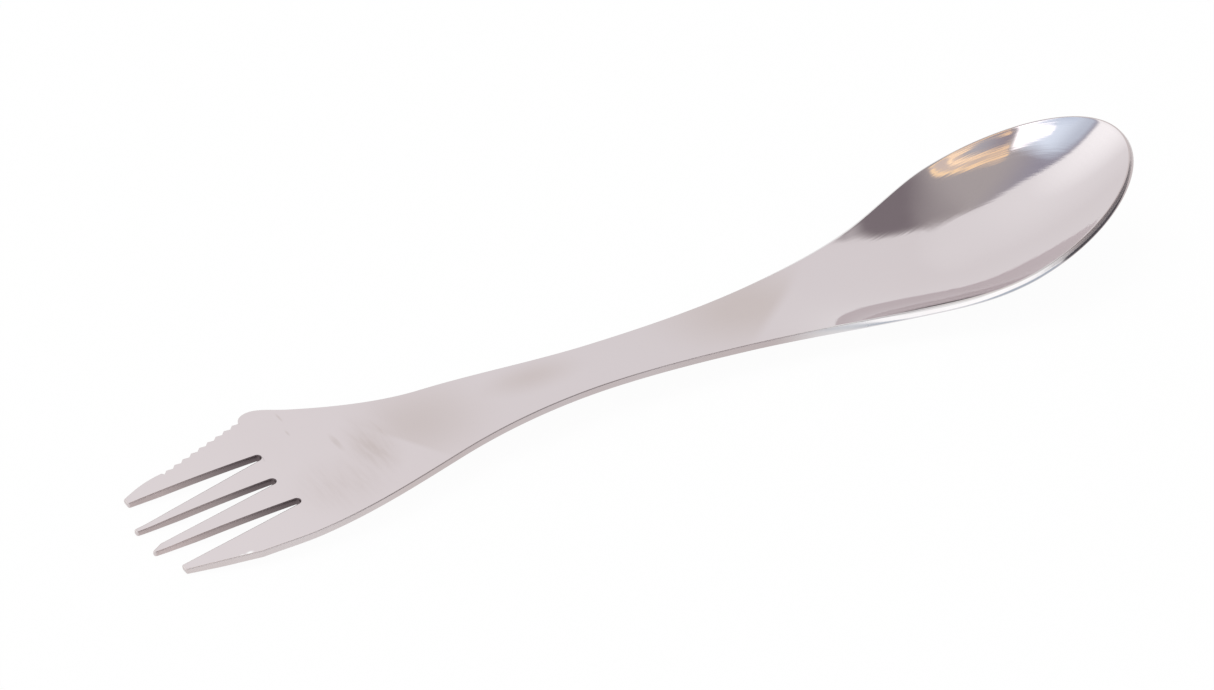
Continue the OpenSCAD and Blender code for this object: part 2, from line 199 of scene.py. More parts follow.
class StudioValues(bpy.types.PropertyGroup):
    """The camera, floor and lights."""

    floor_tone: colour("Floor", "Colour of the floor and backdrop", (1.0, 1.0, 1.0))
    world_strength: share("Surround light", "Strength of the light from all round", 0.97)
    lamp_power: bpy.props.FloatProperty(
        name="Key lamp", description="Power of the lamp over the table", default=6.0, unit="POWER"
    )
    focal_px: bpy.props.FloatProperty(
        name="Focal length", description="Focal length in pixels of a frame 1214 wide", default=7027.57
    )
    eye: bpy.props.FloatVectorProperty(
        name="Camera place",
        description="Place of the camera",
        default=(-0.44406, -0.73870, 0.61796),
        unit="LENGTH",
        subtype="TRANSLATION",
    )
    right: bpy.props.FloatVectorProperty(
        name="Camera right",
        description="Direction to the right of the picture",
        default=(0.862709, -0.505663, 0.006155),
        subtype="DIRECTION",
    )
    up: bpy.props.FloatVectorProperty(
        name="Camera up",
        description="Direction up the picture",
        default=(0.288555, 0.502225, 0.815173),
        subtype="DIRECTION",
    )


# Shape of the sheet


def bend(x, x0, y0, s0, x1, y1, s1):
    """Curve through two points with a set slope at each."""
    h = x1 - x0
    t = (x - x0) / h
    k = t * t * (3 - 2 * t)
    return y0 * (1 - k) + y1 * k + h * t * (1 - t) * (s0 * (1 - t) - s1 * t)


def through(x, knots):
    """Curve through knots, each a place, a value there and the slope there."""
    for start, end in zip(knots, knots[1:]):
        if x < end[0] or end is knots[-1]:
            return bend(x, *start, *end)


def ease(t):
    """Smooth step from 0 to 1."""
    t = min(1.0, max(0.0, t))
    return t * t * (3 - 2 * t)


def mix(a, b, t):
    """The value a share t of the way from a to b."""
    return a + (b - a) * t


def mix_points(a, b, t):
    """The plan point a share t of the way from a to b."""
    return (mix(a[0], b[0], t), mix(a[1], b[1], t))


class SporkShape:
    """The surface of the sheet from its named sizes, with x from the tine tips and y from the middle."""

    # Stations along the tip curve of the toothed tine, a round slot end, the heel, the neck, the ramp
    # into the bowl and the round end of the spoon
    tooth_tip_n = 6
    arc_n = 6
    heel_n = 6
    neck_n = 25
    ramp_n = 18
    turn_n = 12
    end_angle = math.radians(30)
    # Slopes of the palm's plain side behind its tine, and of the toothed tine's outer edge at its tip
    kink_rise = 0.08
    tip_rise_y = 0.5
    # Share of a tooth's depth that its back lies below the line of the crests
    back_fall = 0.6
    # Shares of the length over which the strips behind the slots spread out and their starts line up
    spread_share = 0.15
    late_share = 0.03
    # How closely the stations of the neck stand at the heel
    neck_power = 1.5
    # Edge radii that the third tine's tip keeps beside its bevel
    tip_keep_n = 2.5
    # Steps in the length, one of which to each side measures the slope of the top face
    probe_n = 20000

    def __init__(self, groups):
        for group in groups:
            for name in type(group).__annotations__:
                setattr(self, name, getattr(group, name))
        length = self.overall_l
        self.wide_x = self.bowl_wide_share * length
        self.hollow_x = self.hollow_start_share * length
        self.full_x = self.hollow_full_share * length
        end_slope = self.tip_rise + self.bowl_d * self.hollow_form / (length - self.wide_x)
        self.end_x = length - (self.sheet_t - self.edge_r) * end_slope / math.hypot(1, end_slope)
        self.end_l = self.end_x - self.wide_x
        self.tooth_pitch = (self.tooth_end_x - self.tooth_start_x) / self.tooth_n
        self.back_share = (1 + 2 * self.crest_share) / (2 + self.crest_share)
        self.tooth_rise = (self.tooth_end_y - self.tooth_start_y) / (self.tooth_end_x - self.tooth_start_x)
        self.teeth_x = self.tooth_end_x - self.tooth_pitch * (1 - self.back_share)
        tip_w = self.tine_3_in_y - self.tine_3_out_y
        self.tip_cut = min(self.bevel_w, tip_w - self.tip_keep_n * self.edge_r)
        self.spread_l = self.spread_share * length
        self.late_l = self.late_share * length
        self.root_i = self.tooth_tip_n + 3 * self.tooth_n - 1
        self.heel_i = self.root_i + 1 + self.heel_n
        self.ramp_i = self.heel_i + self.neck_n
        self.wide_i = self.ramp_i + self.ramp_n
        self.last_i = self.wide_i + self.turn_n
        self.probe = length / self.probe_n
        self.roots = (
            (self.slot_x, self.slot_shift - self.slot_pitch),
            (self.mid_slot_x, self.slot_shift),
            (self.slot_x, self.slot_shift + self.slot_pitch),
        )
        self.set_knots(length)

    def set_knots(self, length):
        """The knots of the side profile and of the two sides of the outline."""
        self.rim_knots = (
            (0, self.tine_tip_t, 0),
            (self.foot_l, self.foot_h, self.tine_rise),
            (self.arch_share * length, self.arch_h, 0),
            (self.saddle_share * length, self.saddle_h, 0),
            (self.side_share * length, self.side_h, self.side_rise),
            (self.end_x, self.tip_h, self.tip_rise),
        )
        self.flare_knots = (
            (self.waist_share * length, self.waist_w / 2, 0),
            (self.flare_share * length, self.flare_w / 2, self.flare_rise),
            (self.wide_x, self.bowl_w / 2, 0),
        )
        tine_rise_y = (self.kink_y + self.tine_4_out_y) / (self.kink_x - self.outer_back)
        self.plain_knots = (
            (self.outer_back, -self.tine_4_out_y, tine_rise_y),
            (self.kink_x, self.kink_y, tine_rise_y),
            (self.kink_x, self.kink_y, self.kink_rise),
            (self.palm_x, self.palm_y, 0),
            (self.neck_x, self.neck_y, -self.neck_fall),
            *self.flare_knots,
        )
        self.toothed_knots = (
            (self.heel_x, self.heel_y, 0),
            (self.slope_x, self.slope_y, -self.slope_fall),
            (self.far_neck_x, self.far_neck_y, -self.far_neck_fall),
            *self.flare_knots,
        )

    def toothed_y(self, x):
        """Half width of the toothed side behind the teeth."""
        if x >= self.heel_x:
            return through(x, self.toothed_knots)
        start = self.crest_y(self.teeth_x) - self.tooth_d * self.back_fall
        left = 1 - max(0, (x - self.heel_start_x) / (self.heel_x - self.heel_start_x))
        return mix(start, self.heel_y, math.sqrt(1 - left * left))

    def crest_y(self, x):
        """The line through the crests of the teeth."""
        return self.tooth_start_y + (x - self.tooth_start_x) * self.tooth_rise

    def tooth_corner(self, number):
        """A gap, crest or back of a tooth, counted from the first gap."""
        tooth, part = divmod(number, 3)
        x = self.tooth_start_x + self.tooth_pitch * (tooth + (0, self.crest_share, self.back_share)[part])
        return (x, self.crest_y(x) - self.tooth_d * (1, 0, self.back_fall)[part])

    def toothed_point(self, i):
        """The toothed tine's edge: its tip curve, then the teeth."""
        if i < self.tooth_tip_n:
            x = mix(self.outer_back + self.tip_r, self.tooth_start_x, i / self.tooth_tip_n)
            start = (self.outer_back, self.tine_1_out_y, self.tip_rise_y)
            return (x, bend(x, *start, self.tooth_start_x, self.tooth_start_y, 0))
        number = int(i - self.tooth_tip_n)
        part = i - self.tooth_tip_n - number
        if part == 0:
            return self.tooth_corner(number)
        return mix_points(self.tooth_corner(number), self.tooth_corner(number + 1), part)

    def slot_point(self, i, tip, root, side):
        """A slot's edge, from a tine tip to the round end, as a point and the way into the steel."""
        line_n = self.root_i - self.arc_n
        if i <= line_n:
            s = i / line_n
            y = mix(tip[1], root[1] + side * self.slot_r, s) + side * self.slot_bow * 4 * s * (1 - s)
            return (mix(tip[0] + self.tip_r, root[0] - self.slot_r, s), y, 0, side)
        a = math.radians(90 * (self.root_i - i) / self.arc_n)
        x = root[0] - self.slot_r + self.slot_r * math.cos(a)
        return (x, root[1] + side * self.slot_r * math.sin(a), math.cos(a), side * math.sin(a))

    def edge_point(self, i, e):
        """Edges 0 to 7 from the plain side to the toothed side, two for each tine."""
        if e == 0:
            x = mix(self.outer_back + self.tip_r, self.teeth_x, i / self.root_i)
            return (x, -through(x, self.plain_knots), 0, 1)
        if e == 7:
            return (*self.toothed_point(i), 0, -1)
        tips = (
            (self.outer_back, self.tine_4_in_y),
            (0, self.tine_3_out_y),
            (0, self.tine_3_in_y),
            (0, self.tine_2_in_y),
            (0, self.tine_2_out_y),
            (self.outer_back, self.tine_1_in_y),
        )
        side = -1 if e % 2 else 1
        point = self.slot_point(i, tips[e - 1], self.roots[(e - 1) // 2], side)
        if e == 3:
            cut = self.tip_cut * max(0, 1 - point[0] / self.bevel_l)
            point = (point[0], point[1] - cut, point[2], point[3])
        return point

    def inset(self, point, c):
        """A point of an edge moved into the steel."""
        return (point[0] + c * point[2], point[1] + c * point[3])

    def station_x(self, i):
        """Places of the stations behind the slots, close together at the heel."""
        if i <= self.root_i + 1:
            return mix(self.teeth_x, self.heel_start_x, i - self.root_i)
        if i <= self.heel_i:
            a = math.pi / 2 * (i - self.root_i - 1) / self.heel_n
            return mix(self.heel_x, self.heel_start_x, math.cos(a))
        if i <= self.ramp_i:
            return mix(self.heel_x, self.hollow_x, ((i - self.heel_i) / self.neck_n) ** self.neck_power)
        return mix(self.hollow_x, self.wide_x, (i - self.ramp_i) / self.ramp_n)

    def line_point(self, i, j, c):
        """Lines 0 to 4 that part the four strips behind the slots."""
        x = self.station_x(i)
        low = c - through(x, self.plain_knots)
        high = self.toothed_y(x) - c
        if j == 0:
            return (x, low)
        if j == 4:
            return (x, high)
        late = ease((x - self.teeth_x) / self.late_l)
        spread = ease((x - self.teeth_x) / self.spread_l)
        start = self.roots[j - 1]
        return (
            x + (start[0] + self.edge_r - self.teeth_x) * (1 - late),
            mix(start[1], mix(low, high, j / 4), spread),
        )

    def turn_point(self, i, v, c):
        """Round end of the spoon, where straight stations turn into the arc of the rim."""
        part = (i - self.wide_i) / self.turn_n
        a = mix(math.pi / 2, self.end_angle, part)
        b = part * part
        arc_x = math.cos(v * self.end_angle) - math.cos(self.end_angle)
        arc_y = math.sin(v * self.end_angle) / math.sin(self.end_angle)
        return (
            self.wide_x + (self.end_l - c) * (math.cos(a) + b * arc_x),
            (self.bowl_w / 2 - c) * math.sin(a) * mix(v, arc_y, b),
        )

    def face_point(self, i, k, part):
        """A point of the top face in strip k, a share of the way across it."""
        c = self.edge_r
        if i < self.root_i:
            low = self.inset(self.edge_point(i, 2 * k), c)
            high = self.inset(self.edge_point(i, 2 * k + 1), c)
            return mix_points(low, high, part)
        if i == self.root_i:
            return mix_points(self.root_line(k), self.root_line(k + 1), part)
        if i < self.wide_i:
            return mix_points(self.line_point(i, k, c), self.line_point(i, k + 1, c), part)
        return self.turn_point(i, (k + part) / 2 - 1, c)

    def root_line(self, j):
        """Where the lines between the strips start, at the round ends of the slots."""
        e = 0 if j == 0 else 7 if j == 4 else 2 * j - 1
        return self.inset(self.edge_point(self.root_i, e), self.edge_r)

    def wall_point(self, i, e, c):
        """A point of a wall, c inside the outline."""
        if i <= self.root_i:
            return self.inset(self.edge_point(i, e), c)
        if i < self.wide_i:
            return self.line_point(i, 0 if e == 0 else 4, c)
        return self.turn_point(i, -1 if e == 0 else 1, c)

    def rim_part(self, x, y):
        """Share of the way from the middle of the bowl to its rim."""
        if x > self.wide_x:
            return math.hypot((x - self.wide_x) / self.end_l, 2 * y / self.bowl_w)
        if x < self.hollow_x:
            return 1.0
        return abs(y) / through(x, self.flare_knots)

    def top_z(self, x, y):
        """Height of the top face."""
        depth = self.bowl_d * ease((x - self.hollow_x) / (self.full_x - self.hollow_x))
        return through(x, self.rim_knots) - depth * (1 - self.rim_part(x, y) ** self.hollow_form)

    def lay(self, x, y):
        """Distance across the polish lines, which run along the handle and round the bowl."""
        bowl = ease((x - self.hollow_x) / (self.full_x - self.hollow_x))
        return mix(abs(y), self.rim_part(x, y) * self.bowl_w / 2, bowl)

    def thick(self, x):
        """Thickness of the sheet, square to its face."""
        return mix(self.tine_tip_t, self.sheet_t, ease(x / self.thin_l))

    def sheet_place(self, x, y, depth):
        """A place at a depth under the top face, square to it, so that the edges lean with the bowl."""
        h = self.probe
        gx = (self.top_z(x + h, y) - self.top_z(x - h, y)) / (2 * h)
        gy = (self.top_z(x, y + h) - self.top_z(x, y - h)) / (2 * h)
        square = Vector((-gx, -gy, 1)).normalized()
        return Vector((x, y, self.top_z(x, y))) - depth * square


# Mesh of the sheet


class SheetMesh:
    """Corners and faces of the sheet, on a fine grid with rounded edges."""

    # Cells for each station of the solid, rows on a quarter of an edge's round, and places across a strip
    refine = 4
    round_n = 4
    across = (0, 0.04, 0.12, 0.22, 0.33, 0.44, 0.56, 0.67, 0.78, 0.88, 0.96, 1)

    def __init__(self, shape):
        self.shape = shape
        self.mesh = bmesh.new()
        self.corners = {}
        self.depth = self.mesh.verts.layers.float.new("Depth")
        self.stations = [n / self.refine for n in range(shape.last_i * self.refine + 1)]
        self.ring_n = 4 * (len(self.across) - 1)

    def corner(self, key, place):
        """The corner with that key, made where it is first asked for."""
        if key not in self.corners:
            self.corners[key] = self.mesh.verts.new(place())
            self.corners[key][self.depth] = float(key[1])
        return self.corners[key]

    def face(self, corners, slot):
        """One face with its material."""
        face = self.mesh.faces.new(corners)
        face.material_index = slot
        face.smooth = True

    def on_face(self, i, k, c, low):
        """A corner of the top face or the underside."""
        if i >= self.shape.root_i and c == len(self.across) - 1 and k < 3:
            k, c = k + 1, 0

        def place():
            x, y = self.shape.face_point(i, k, self.across[c])
            return self.shape.sheet_place(x, y, self.shape.thick(x) if low else 0)

        return self.corner(("face", low, i, k, c), place)

    def on_wall(self, i, e, row, low):
        """A corner of a rounded edge: row 0 is on the wall and round_n on the face."""
        if row == self.round_n:
            return self.on_face(i, e // 2, 0 if e % 2 == 0 else len(self.across) - 1, low)
        if i == self.shape.root_i and e % 2 == 1 and e < 7:
            e += 1

        def place():
            return self.round_place(lambda c: self.shape.wall_point(i, e, c), row, low)

        return self.corner(("wall", low, i, e, row), place)

    def round_place(self, point_at, row, low):
        """A place on a rounded edge, from the plan point at a distance inside the outline."""
        a = math.pi / 2 * row / self.round_n
        r = self.shape.edge_r
        x, y = point_at(r * (1 - math.cos(a)))
        drop = r * (1 - math.sin(a))
        return self.shape.sheet_place(x, y, self.shape.thick(x) - drop if low else drop)

    def on_ring(self, j, row, low):
        """A corner of the rounded rim at the spoon end."""
        cells = len(self.across) - 1
        last = self.shape.last_i
        if row == self.round_n:
            return self.on_face(last, min(3, j // cells), j - min(3, j // cells) * cells, low)
        if j == 0:
            return self.on_wall(last, 0, row, low)
        if j == self.ring_n:
            return self.on_wall(last, 7, row, low)
        v = (min(3, j // cells) + self.across[j - min(3, j // cells) * cells]) / 2 - 1

        def place():
            return self.round_place(lambda c: self.shape.turn_point(last, v, c), row, low)

        return self.corner(("ring", low, j, row), place)

    def band(self):
        """Rows of an edge from the top face to the underside."""
        rows = [(row, False) for row in range(self.round_n, -1, -1)]
        return rows + [(row, True) for row in range(self.round_n + 1)]

    def add_faces(self):
        """The top face and the underside."""
        cells = len(self.across) - 1
        for i, j in zip(self.stations, self.stations[1:]):
            for k in range(4):
                for c in range(cells):
                    for low in (False, True):
                        places = ((i, c), (j, c), (j, c + 1), (i, c + 1))
                        self.face([self.on_face(n, k, m, low) for n, m in places], 1 if low else 0)

    def add_walls(self):
        """The long edges, slots among them."""
        rows = self.band()
        for i, j in zip(self.stations, self.stations[1:]):
            for e in range(8):
                if 0 < e < 7 and i >= self.shape.root_i:
                    continue
                slot = 3 if 0 < e < 7 else 2
                for a, b in zip(rows, rows[1:]):
                    places = ((i, a), (j, a), (j, b), (i, b))
                    self.face([self.on_wall(n, e, *row) for n, row in places], slot)

    def add_ring(self):
        """The edge round the spoon end."""
        rows = self.band()
        for j in range(self.ring_n):
            for a, b in zip(rows, rows[1:]):
                places = ((j, a), (j + 1, a), (j + 1, b), (j, b))
                self.face([self.on_ring(n, *row) for n, row in places], 2)

    def add_tip(self, k):
        """The rounded end of a tine."""
        cells = len(self.across) - 1
        loop = [self.on_face(0, k, c, False) for c in range(cells + 1)]
        loop += [self.on_wall(0, 2 * k + 1, row, low) for row, low in self.band()[1:-1]]
        loop += [self.on_face(0, k, c, True) for c in range(cells, -1, -1)]
        loop += [self.on_wall(0, 2 * k, row, low) for row, low in reversed(self.band()[1:-1])]
        middle = sum((corner.co for corner in loop), Vector()) / len(loop)
        reach = [max(abs(corner.co[axis] - middle[axis]) for corner in loop) for axis in (1, 2)]
        r = self.shape.tip_r
        before = loop
        for row in range(1, self.round_n + 1):
            a = math.pi / 2 * row / self.round_n
            pull = r * (1 - math.cos(a))
            after = []
            for corner in loop:
                y = middle[1] + (corner.co[1] - middle[1]) * (1 - pull / reach[0])
                z = middle[2] + (corner.co[2] - middle[2]) * (1 - pull / reach[1])
                after.append(self.mesh.verts.new((corner.co[0] - r * math.sin(a), y, z)))
                after[-1][self.depth] = corner[self.depth]
            for n in range(len(loop)):
                m = (n + 1) % len(loop)
                self.face((before[n], before[m], after[m], after[n]), 2)
            before = after
        centre = self.mesh.verts.new((middle[0] - r, middle[1], middle[2]))
        for n in range(len(before)):
            self.face((before[n], before[(n + 1) % len(before)], centre), 2)

    def build(self, name):
        """The whole sheet as a mesh, where the solid stands."""
        self.add_faces()
        self.add_walls()
        self.add_ring()
        for k in range(4):
            self.add_tip(k)
        bmesh.ops.recalc_face_normals(self.mesh, faces=self.mesh.faces)
        lay = self.mesh.verts.layers.float.new("Lay")
        for corner in self.mesh.verts:
            corner[lay] = self.shape.lay(corner.co[0], corner.co[1])
        places = [corner.co for corner in self.mesh.verts]
        shift = Vector((0, 0, SOLID_LOW[2] - min(place[2] for place in places)))
        for axis in (0, 1):
            span = [pick(place[axis] for place in places) for pick in (min, max)]
            shift[axis] = (SOLID_LOW[axis] + SOLID_HIGH[axis] - span[0] - span[1]) / 2
        bmesh.ops.translate(self.mesh, verts=self.mesh.verts, vec=shift)
        data = bpy.data.meshes.new(name)
        self.mesh.to_mesh(data)
        self.mesh.free()
        return data


# Node trees


def feed(tree, socket, value):
    """What a socket takes: another node's output or a plain value."""
    if isinstance(value, bpy.types.NodeSocket):
        tree.links.new(value, socket)
    else:
        socket.default_value = value


def node(tree, kind, spot, feeds=(), **settings):
    """A node at a spot in its tree, with its settings and what its sockets take."""
    made = tree.nodes.new(kind)
    made.location = spot
    for name, value in settings.items():
        setattr(made, name, value)
    for name, value in dict(feeds).items():
        feed(tree, made.inputs[name], value)
    return made


def math_node(tree, operation, spot, *values, clamp=False):
    """A Math node's output."""
    feeds = enumerate(values)
    made = node(tree, "ShaderNodeMath", spot, feeds, operation=operation, use_clamp=clamp)
    return made.outputs[0]


def vector_node(tree, operation, spot, *values):
    """A Vector Math node's output."""
    made = node(tree, "ShaderNodeVectorMath", spot, enumerate(values), operation=operation)
    return made.outputs["Value" if operation in ("DOT_PRODUCT", "LENGTH") else "Vector"]


def soft_mask(tree, spot, value, start, end):
    """A value turned into a mask, 0 at the start and 1 at the end."""
    feeds = {"Value": value, "From Min": start, "From Max": end}
    return node(tree, "ShaderNodeMapRange", spot, feeds, interpolation_type="SMOOTHSTEP").outputs["Result"]


def blend_colours(tree, spot, mask, first, second):
    """One colour laid over another by a mask."""
    made = node(tree, "ShaderNodeMix", spot, data_type="RGBA")
    sockets = {socket.identifier: socket for socket in made.inputs}
    tree.links.new(mask, sockets["Factor_Float"])
    for name, value in (("A_Color", first), ("B_Color", second)):
        feed(tree, sockets[name], value if isinstance(value, bpy.types.NodeSocket) else (*value, 1.0))
    return next(socket for socket in made.outputs if socket.identifier == "Result_Color")


def emptied_tree(holder):
    """The node tree of a material or world, without its first nodes."""
    holder.use_nodes = True
    holder.node_tree.nodes.clear()
    return holder.node_tree


def mixed_output(tree, kind, part, first, second):
    """Two shaders mixed by a part, as what the tree puts out."""
    feeds = enumerate((part, first.outputs[0], second.outputs[0]))
    both = node(tree, "ShaderNodeMixShader", (300, 100), feeds)
    node(tree, kind, (600, 100), {"Surface": both.outputs[0]})


# Shader groups


def new_group(name, inputs, output):
    """A node group with a vector and other inputs, its input node's sockets and its output's socket."""
    group = bpy.data.node_groups.new(name, "ShaderNodeTree")
    for label, kind, default in (("Vector", "Vector", None), *inputs):
        socket = group.interface.new_socket(name=label, in_out="INPUT", socket_type="NodeSocket" + kind)
        if default is not None:
            socket.default_value = default
    group.interface.new_socket(name=output, in_out="OUTPUT", socket_type="NodeSocketFloat")
    enter = node(group, "NodeGroupInput", (-900, 0))
    leave = node(group, "NodeGroupOutput", (400, 0))
    return group, enter.outputs, leave.inputs[output]


def polish_lines_group():
    """Fine lines that the polishing wheel leaves along the sheet."""
    group, enter, leave = new_group("Polish lines", (("Fineness", "Float", 2200.0),), "Lines")
    stretched = vector_node(group, "MULTIPLY", (-700, 0), enter["Vector"], (0.02, 1.0, 0.1))
    feeds = {"Vector": stretched, "Scale": enter["Fineness"], "Detail": 2.0, "Roughness": 0.6}
    fine = node(group, "ShaderNodeTexNoise", (-480, 80), feeds, noise_dimensions="3D")
    feed(group, leave, math_node(group, "SUBTRACT", (-200, 80), fine.outputs["Fac"], 0.5))
    return group


def soft_film_group():
    """Soft blotches of a faint film that wiping leaves."""
    group, enter, leave = new_group("Soft film", (("Scale", "Float", 45.0), ("Seed", "Float", 0.0)), "Film")
    feeds = {"Vector": enter["Vector"], "Scale": enter["Scale"], "W": enter["Seed"]}
    feeds |= {"Detail": 4.0, "Roughness": 0.55, "Distortion": 0.15}
    noise = node(group, "ShaderNodeTexNoise", (-480, 0), feeds, noise_dimensions="4D")
    feed(group, leave, soft_mask(group, (-200, 0), noise.outputs["Fac"], 0.36, 0.68))
    return group


def soft_patch_group():
    """A soft round mask at a place on the sheet."""
    inputs = (("Centre", "Vector", (0.0, 0.0, 0.0)), ("Reach", "Vector", (0.01, 0.005, 0.02)))
    group, enter, leave = new_group("Soft patch", inputs, "Patch")
    away = vector_node(group, "SUBTRACT", (-700, 0), enter["Vector"], enter["Centre"])
    scaled = vector_node(group, "DIVIDE", (-500, 0), away, enter["Reach"])
    distance = vector_node(group, "LENGTH", (-300, 0), scaled)
    feed(group, leave, soft_mask(group, (-100, 0), distance, 1.0, 0.0))
    return group


def soft_step_group():
    """A mask that goes from 0 to 1 across a plane, over a width round it."""
    inputs = (
        ("Centre", "Vector", (0.0, 0.0, 0.0)),
        ("Direction", "Vector", (1.0, 0.0, 0.0)),
        ("Width", "Float", 0.001),
    )
    group, enter, leave = new_group("Soft step", inputs, "Step")
    away = vector_node(group, "SUBTRACT", (-700, 0), enter["Vector"], enter["Centre"])
    along = vector_node(group, "DOT_PRODUCT", (-500, 0), away, enter["Direction"])
    scaled = math_node(group, "DIVIDE", (-300, 0), along, enter["Width"])
    feed(group, leave, soft_mask(group, (-100, 0), scaled, -0.5, 0.5))
    return group


def place_group(tree, group, spot, vector, **values):
    """The output of a node group in a material, fed with a vector and its own values."""
    return node(tree, "ShaderNodeGroup", spot, {"Vector": vector, **values}, node_tree=group).outputs[0]


# Materials

# Soft steps along the piece, each the place of its middle and its width
PALM_STEP = (-0.058, 0.03)
HANDLE_STEP = (-0.028, 0.06)
TINE_EDGE_STEP = (-0.052, 0.03)
RIM_START_STEP = (0.024, 0.014)
RIM_END_STEP = (0.064, 0.008)
STROKES_END_STEP = (-0.0435, 0.005)
BOWL_STEP = (0.035, 0.03)
# ROOT_SHADE_STEP is where the painted shade on the slot walls sets in towards their round ends
ROOT_SHADE_STEP = (-0.0725, 0.022)
DULL_TIP_STEP = (0.06, 0.01)
# Dull stretches of the cut edge, each its start and end along the piece
DULL_STRETCHES = ((-0.3, -0.054), (0.0, 0.034))
DULL_STEP_WIDTH = 0.008
# The dull part of the edge at the spoon tip, as shares of the depth from the top face to the underside
DULL_DEPTH_SHARES = (0.02, 0.55)
DULL_ROUGH = 0.26
# What the polish lines run across, and its scale: Depth is a share of the sheet's thickness
FACE_LINES = ("Lay", 1.0)
EDGE_LINES = ("Depth", 0.0012)
FACE_LINE_HEIGHT = 0.0000055
EDGE_LINE_HEIGHT = 0.000002
SLOT_LINE_HEIGHT = 0.0000008
# Share of the lines' height on the handle and palm
FLAT_LINE_SHARE = 0.25
# Roughness that the lines and the film add, and that of the slot walls
LINE_ROUGH = 0.05
SLOT_LINE_ROUGH = 0.1
FILM_ROUGH = 0.05
SLOT_ROUGH = 0.42
# How strongly the film covers each face
FACE_FILM = 0.06
UNDER_FILM = 0.3
EDGE_FILM = 0.3
SLOT_FILM = 0.25
# The film's blotches: the cool patches, the slot walls' and the strokes that break up the warm patches
COOL_BLOTCHES = {"Scale": 28.0, "Seed": 7.3}
SLOT_BLOTCHES = {"Scale": 120.0}
STROKES_FILM = {"Scale": 1400.0, "Seed": 3.1}
STROKES_STRETCH = (1.0, 0.14, 1.0)
# How much the strokes add to a warm patch, and what it has without them
STROKES_GAIN = (0.5, 0.55)
# Warm patches on the faces: centre, reach, strength and, for some, the edge that cuts them off
WARM_PATCHES = (
    ((-0.0390, 0.0005), (0.015, 0.013), 0.72, ((-0.0423, -0.0028), (0.868, 0.496), 0.0012)),
    ((-0.0472, -0.0005), (0.0048, 0.0085), 0.95, None),
    ((-0.0513, 0.0031), (0.0007, 0.0030), 0.9, None),
    ((-0.0550, -0.0058), (0.0100, 0.009), 0.45, None),
    ((-0.0190, 0.0016), (0.0105, 0.0046), 0.7, None),
    ((0.0190, 0.0022), (0.019, 0.013), 1.0, ((0.0257, 0.0024), (-0.65, 0.76), 0.0022)),
    ((-0.0555, 0.0132), (0.0003, 0.0017), 0.9, None),
    ((-0.0562, 0.0092), (0.0003, 0.0011), 0.7, None),
)
# Tiny painted glints on the outer tine, where small scratches catch the light: centre and reach
PAINTED_GLINTS = (((-0.0738, -0.0119), (0.0009, 0.0005)), ((-0.0750, -0.0118), (0.0006, 0.0004)))


class SteelTree:
    """The nodes of one steel material, with the shared groups placed in it."""

    def __init__(self, name, groups):
        self.material = bpy.data.materials.new(name)
        self.tree = emptied_tree(self.material)
        self.groups = groups
        self.shader = node(self.tree, "ShaderNodeBsdfPrincipled", (600, 0), {"Metallic": 1.0})
        node(self.tree, "ShaderNodeOutputMaterial", (900, 0), {"Surface": self.shader.outputs[0]})
        self.place = node(self.tree, "ShaderNodeTexCoord", (-1400, 0)).outputs["Object"]

    def group(self, name, spot, **values):
        """A shared group fed with the place on the piece."""
        return place_group(self.tree, self.groups[name], spot, self.place, **values)

    def step(self, spot, middle, width):
        """A soft step at a place along the piece."""
        return self.group("step", spot, Centre=(middle, 0.0, 0.0), Width=width)

    def patch(self, spot, centre, reach):
        """A soft patch at a place in the plan."""
        return self.group("patch", spot, Centre=(*centre, 0.0), Reach=(*reach, 1.0))

    def math(self, operation, spot, *values, clamp=False):
        """A Math node's output."""
        return math_node(self.tree, operation, spot, *values, clamp=clamp)

    def blend(self, spot, mask, first, second):
        """One colour laid over another by a mask."""
        return blend_colours(self.tree, spot, mask, first, second)

    def attribute(self, name, spot):
        """A value that the mesh holds at each corner."""
        return node(self.tree, "ShaderNodeAttribute", spot, attribute_name=name).outputs["Fac"]

    def lines(self, across, scale):
        """The polish lines, laid out by the distances along and across them."""
        parts = node(self.tree, "ShaderNodeSeparateXYZ", (-1400, 400), {0: self.place}).outputs
        distance = self.math("MULTIPLY", (-1400, 600), self.attribute(across, (-1600, 600)), scale)
        feeds = enumerate((parts["X"], distance, parts["Y"]))
        both = node(self.tree, "ShaderNodeCombineXYZ", (-1250, 400), feeds)
        return place_group(self.tree, self.groups["lines"], (-1100, 300), both.outputs[0])

    def close(self, base, rough, height, line_height):
        """The material, once its colour, roughness and relief go to the shader."""
        feeds = {"Height": height, "Strength": 1.0, "Distance": line_height}
        bump = node(self.tree, "ShaderNodeBump", (300, -300), feeds)
        for name, value in (("Base Color", base), ("Roughness", rough), ("Normal", bump.outputs[0])):
            feed(self.tree, self.shader.inputs[name], value)
        return self.material


def warm_patch_mask(steel):
    """The warm patches together, each a soft patch that is cut off along its edge, in strokes on the palm.
    """
    total = 0.0
    for number, (centre, reach, strength, edge) in enumerate(WARM_PATCHES):
        level = -500 - 300 * number
        mask = steel.patch((-1100, level), centre, reach)
        if edge:
            middle, direction, width = edge
            values = {"Centre": (*middle, 0.0), "Direction": (*direction, 0.0), "Width": width}
            kept = steel.group("step", (-1100, level - 150), **values)
            mask = steel.math("MULTIPLY", (-900, level), mask, kept)
        part = steel.math("MULTIPLY", (-700, level), mask, strength)
        total = steel.math("ADD", (-500, level), part, total)
    stretched = vector_node(steel.tree, "MULTIPLY", (-1250, -350), steel.place, STROKES_STRETCH)
    strokes = place_group(steel.tree, steel.groups["film"], (-1100, -350), stretched, **STROKES_FILM)
    whole = steel.math("MAXIMUM", (-950, -400), strokes, steel.step((-1100, -450), *STROKES_END_STEP))
    uneven = steel.math("MULTIPLY_ADD", (-800, -350), whole, *STROKES_GAIN)
    return steel.math("MULTIPLY", (-300, -500), total, uneven)


